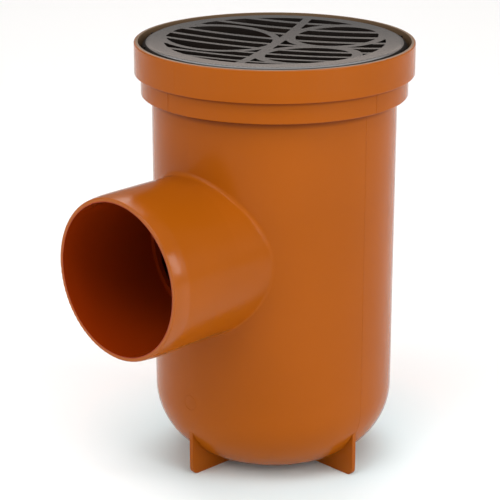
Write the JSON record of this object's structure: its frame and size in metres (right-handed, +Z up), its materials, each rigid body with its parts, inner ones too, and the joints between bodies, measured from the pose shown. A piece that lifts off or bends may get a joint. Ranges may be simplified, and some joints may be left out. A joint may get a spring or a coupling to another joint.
{
  "type": "gully trap",
  "caption": "Round yard gully with a stepped mouth, side outlet spigot, foot fins, a loose dished grate and a lift-out dip-tube water trap.",
  "frame": {"origin": "on the vertical axis of the body, in the plane that the foot fins stand on, where the two fin plates cross", "axes": "+Z up along the body's axis, +X out of the outlet spigot"},
  "size_m": [0.243, 0.189, 0.2945],
  "materials": {
    "body_plastic": "satin orange-brown moulded PVC-U",
    "grate_plastic": "satin black moulded plastic",
    "insert_plastic": "matt black moulded plastic",
    "seal_rubber": "matt black rubber"
  },
  "bodies": {
    "root": {"body": "body_plastic", "grate": "grate_plastic", "trap_insert": "insert_plastic", "trap_seal": "seal_rubber"}
  },
  "joints": []
}
